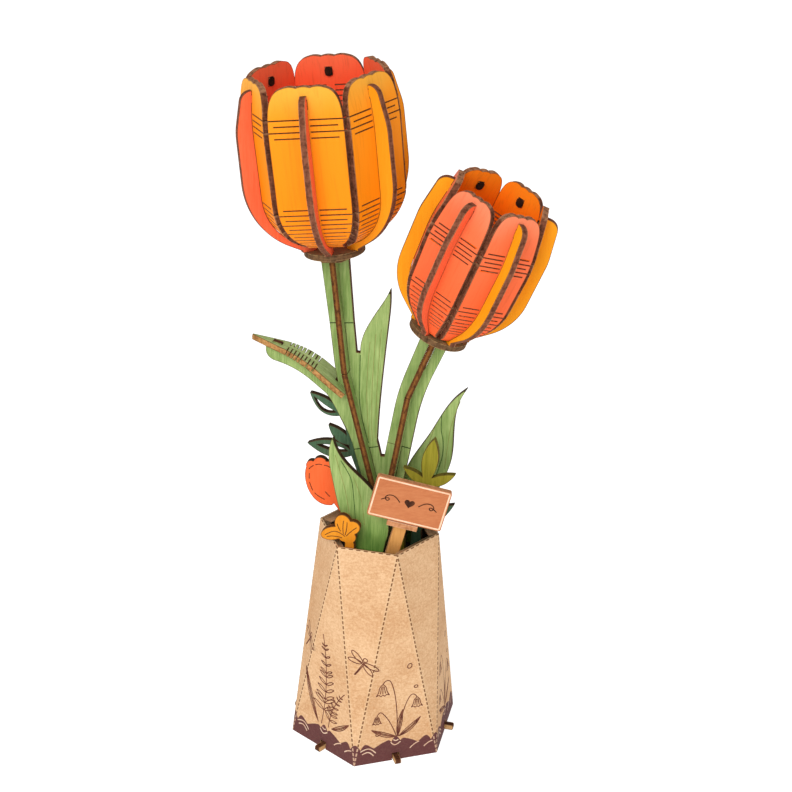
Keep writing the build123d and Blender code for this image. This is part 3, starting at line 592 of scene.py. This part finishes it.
# Paler card near the creases and along the rim.
crease_halo = 1 - tone.maths("MINIMUM", crease, rim).between(0.2, 0.9)
colour = (crease_halo * speckle.between(0.35, 0.6) * 0.55).mix(colour, paint("DDC098"))
side = tone.maths("MODULO", turned + pi / 6, pi / 3) - pi / 6
along = reach * tone.maths("SINE", side)
wave = abs(tone.maths("COSINE", (along + tone.maths("SINE", along * 0.45) * 1.2) * (pi / SCALLOP)))
band_top = BAND_HEIGHT + wave * 2.0 + (1 - abs(along).between(1.5, 4.2)) * 1.6
band = 1 - (z - band_top).between(-0.12, 0.12)
colour = (band * (0.9 + speckle * 0.1)).mix(colour, paint("53282E"))
cut = (1 - crease.between(0.2, 0.36)) * dash
cut = tone.maths("MAXIMUM", cut, (1 - rim.between(0.2, 0.34)) * rim_dash)
colour = (cut * 0.9).mix(colour, band.mix(paint("673C1C"), paint("C09C81")))
tone.surface(colour, 0.78 + speckle * 0.15 - band * 0.15, speckle - cut * 0.5, 0.0001)

vase = bmesh.new()
vase.from_mesh(frame["nodes"]["vase_sleeve"].data)
bmesh.ops.remove_doubles(vase, verts=vase.verts, dist=MERGE)
for face in vase.faces:
    middle = face.calc_center_median()
    outwards = Vector((middle.x, middle.y, 0)).normalized()
    face.material_index = 1 if face.normal.dot(outwards) > 0.5 or face.normal.z > 0.7 else 0
finished("vase_card", vase, [plain_card, printed_card], "arrangement", ["vase_sleeve"])


def facet(angle, low, high):
    """The place of a drawing on a triangle of the sleeve, from the middle of its foot up its slope."""
    out = Vector((cos(radians(angle)), sin(radians(angle)), 0))
    u = Vector((-out.y, out.x, 0))
    v = (out * (high - low) + UP * HEIGHT).normalized()
    return Matrix.Translation(out * low * MM) @ Matrix((u, v, u.cross(v))).transposed().to_4x4()


def foot_facet(angle):
    return facet(angle, FOOT * cos(pi / 6), MOUTH)


def mouth_facet(angle):
    return facet(angle, FOOT, MOUTH * cos(pi / 6))


def frond(foot, tip, bow, pairs, reach):
    """A fern: a bowed stem with pairs of narrow leaflets that shorten towards its tip."""
    foot = Vector(foot)
    way = Vector(tip) - foot
    aside = Vector((-way.y, way.x)).normalized()
    stem = [foot + way * (i / 24) + aside * (bow * i / 24 * (1 - i / 24)) for i in range(25)]
    strokes = [stem]
    for i in range(pairs):
        root = stem[round(4 + 19 * i / pairs)]
        length = reach * (1 - 0.8 * i / pairs)
        for hand in (-1, 1):
            out = aside * hand * length
            lift = way.normalized() * length
            tip_point = root + out + lift * 0.55
            strokes.append([root, root + out * 0.55 + lift * 0.02, tip_point])
            strokes.append([root, root + out * 0.45 + lift * 0.55, tip_point])
    return strokes


def harebell(foot, top, nod, size):
    """A thin stem that arches over to a hanging bell with a waved mouth."""
    foot = Vector(foot)
    top = Vector(top)
    hang = top + Vector((nod, -0.8))
    stem = [foot, foot.lerp(top, 0.5) - Vector((nod * 0.3, 0)), top, top + Vector((nod * 0.7, 0.9)), hang]
    half = [(0, 0), (-1.1, -0.8), (-1.2, -2.6), (-2.1, -3.9)]
    mouth = [(-2.1, -3.9), (-1.2, -3.3), (-0.7, -4.3), (0, -3.5), (0.7, -4.3), (1.2, -3.3), (2.1, -3.9)]
    bell = [half, [(-u, v) for u, v in half], mouth, [(0, -0.6), (0, -3.4)], [(-0.4, -0.8), (-0.8, -3.2)],
            [(0.4, -0.8), (0.8, -3.2)]]
    return [stem] + [[hang + Vector(point) * size for point in stroke] for stroke in bell]


def blade(foot, tip, bow):
    """A leaf of grass: both its edges and a line up its middle."""
    foot = Vector(foot)
    tip = Vector(tip)
    aside = Vector((foot.y - tip.y, tip.x - foot.x)).normalized()
    return [[foot, foot.lerp(tip, 0.45) + aside * (bow + width), tip] for width in (-1.6, -0.5, 0.4, 1.6)]


def oval(middle, length, width, turn):
    """A closed line round a seed or a wing."""
    spun = Matrix.Rotation(radians(turn), 2)
    points = [(length * cos(pi * i / 6), width * sin(pi * i / 6)) for i in range(13)]
    return [Vector(middle) + spun @ Vector(point) for point in points]


print_ink = ink_finish("printed_brown", "552B22", "724433")
ferns = frond((-1.5, SPRIG_FOOT), (-3.5, 45), bow=-8, pairs=11, reach=5.0)
ferns += frond((2.0, SPRIG_FOOT), (8.5, 26), bow=6, pairs=7, reach=3.2)
ferns += blade((-3.0, SPRIG_FOOT), (-10.5, 29), bow=1.5) + blade((3.5, SPRIG_FOOT), (11.5, 15), bow=-1.0)
bells = harebell((0.5, SPRIG_FOOT), (-1.5, 32), nod=-3.4, size=1.15)
bells += harebell((0.8, SPRIG_FOOT), (4.6, 25), nod=3.0, size=1.0)
bells += harebell((0.2, SPRIG_FOOT), (-4.6, 19.5), nod=-2.4, size=0.8)
bells += blade((0, SPRIG_FOOT), (-9.0, 13.5), bow=1.0) + blade((1, SPRIG_FOOT), (9, 16), bow=-1.0)
bells += blade((0.6, SPRIG_FOOT), (2.4, 20), bow=0.4)
dragonfly = [[(0, -4.6), (0.2, -1), (0, 1.6)], oval((0, 2.3), 0.8, 0.7, 0), [(0.3, -4.4), (0.6, -1), (0.5, 1.6)]]
for hand in (-1, 1):
    dragonfly += [oval((hand * 3.1, 1.6), 2.9, 0.85, hand * 14), oval((hand * 2.8, -0.1), 2.6, 0.8, hand * -16)]
seeds = [oval((-6.5, 11.5), 1.0, 0.7, 30), oval((4.8, 37), 1.0, 0.75, 60), oval((7.2, 28.5), 0.7, 0.5, 0)]
lean = Matrix.Translation(Vector((0.5, 39, 0)) * MM) @ Matrix.Rotation(radians(-32), 4, "Z")
art = [
    ("ferns", ferns, [foot_facet(-120), foot_facet(60), foot_facet(180)]),
    ("bells", bells, [foot_facet(-60), foot_facet(120), foot_facet(0)]),
    ("seeds", seeds, [foot_facet(-60), foot_facet(120), foot_facet(0)]),
    ("dragonfly", dragonfly, [mouth_facet(-90) @ lean, mouth_facet(90) @ lean, mouth_facet(-150) @ lean]),
]
for name, strokes, places in art:
    for i, place in enumerate(places):
        drawn(f"vase_{name}_{i + 1}", strokes, place, SPRIG_LINE, print_ink, "arrangement")
band_ink = ink_finish("pale_band_line", "C8A185", "D9BCA3")
curls = [
    [(-13.0, 5.4), (-11.0, 6.4), (-8.8, 5.8), (-7.4, 4.0)],
    [(-12.4, 4.2), (-10.8, 5.0), (-9.2, 4.4), (-8.2, 3.0)],
    [(-1.9, 7.4), (-1.0, 6.2), (0.2, 6.0), (1.7, 7.2)],
    [(-0.9, 8.4), (-0.1, 7.3), (0.9, 8.2)],
    [(5.2, 3.8), (6.6, 5.4), (8.6, 6.0)],
    [(10.4, 3.6), (12.0, 5.2), (13.6, 5.4)],
]
for i in range(SIDES):
    drawn(f"band_curls_{i + 1}", curls, foot_facet(STEP * i), CURL_LINE, band_ink, "arrangement")

# Stage: a pale floor that glows a little, soft studio light from the upper left and the right, and the camera
# where the photograph was taken from, with its focal length in pixels of that picture.
FLOOR_REACH = 30
FLOOR_GLOW = 0.8
SKY = 0.41
LAMP_SIZE = 0.8
LAMP_AIM = Vector((0, 0, 0.13))
LAMPS = (("key", (-0.25, -0.95, 0.95), 12.4), ("fill", (0.75, -0.6, 0.5), 2.2))
AZIMUTH, ELEVATION, ROLL = radians(11.685), radians(25.374), radians(1.846)
SENSOR = 36
PICTURE, FOCAL = 792, 1758.58
DISTANCE = 586.67 * MM
AIM = Vector((4.415, 0, 130.30)) * MM
floor_look, tone = material("pale_floor")
haze = tone.place((8, 8, 8)).noise(2)
shader = tone.surface(haze.mix(paint("D2D2D1"), paint("CDCDCC")), 0.8 + haze * 0.1, haze, 0.0)
shader.inputs["Emission Color"].default_value = (1, 1, 1, 1)
shader.inputs["Emission Strength"].default_value = FLOOR_GLOW
floor = bmesh.new()
bmesh.ops.create_grid(floor, x_segments=1, y_segments=1, size=FLOOR_REACH)
floor_mesh = bpy.data.meshes.new("floor")
floor.to_mesh(floor_mesh)
floor.free()
floor_mesh.materials.append(floor_look)
floor_piece = bpy.data.objects.new("floor", floor_mesh)
bpy.context.scene.collection.objects.link(floor_piece)

scene = bpy.context.scene
scene.view_settings.view_transform = "Standard"
world = bpy.data.worlds.new("studio")
world.use_nodes = True
world.node_tree.nodes["Background"].inputs["Color"].default_value = (1, 1, 1, 1)
world.node_tree.nodes["Background"].inputs["Strength"].default_value = SKY
scene.world = world
for name, place, power in LAMPS:
    lamp = bpy.data.lights.new(name, "AREA")
    lamp.size = LAMP_SIZE
    lamp.energy = power
    light = bpy.data.objects.new(name, lamp)
    light.location = place
    light.rotation_euler = (LAMP_AIM - Vector(place)).to_track_quat("-Z", "Y").to_euler()
    scene.collection.objects.link(light)

back = Vector((sin(AZIMUTH) * cos(ELEVATION), -cos(AZIMUTH) * cos(ELEVATION), sin(ELEVATION)))
right = Vector((cos(AZIMUTH), sin(AZIMUTH), 0))
upward = back.cross(right)
rolled_right = right * cos(ROLL) + upward * sin(ROLL)
rolled_up = upward * cos(ROLL) - right * sin(ROLL)
lens = bpy.data.cameras.new("camera")
lens.sensor_width = SENSOR
lens.lens = SENSOR * FOCAL / PICTURE
camera = bpy.data.objects.new("camera", lens)
axes = Matrix((rolled_right, rolled_up, back)).transposed().to_4x4()
camera.matrix_world = Matrix.Translation(AIM + back * DISTANCE) @ axes
scene.collection.objects.link(camera)
scene.camera = camera
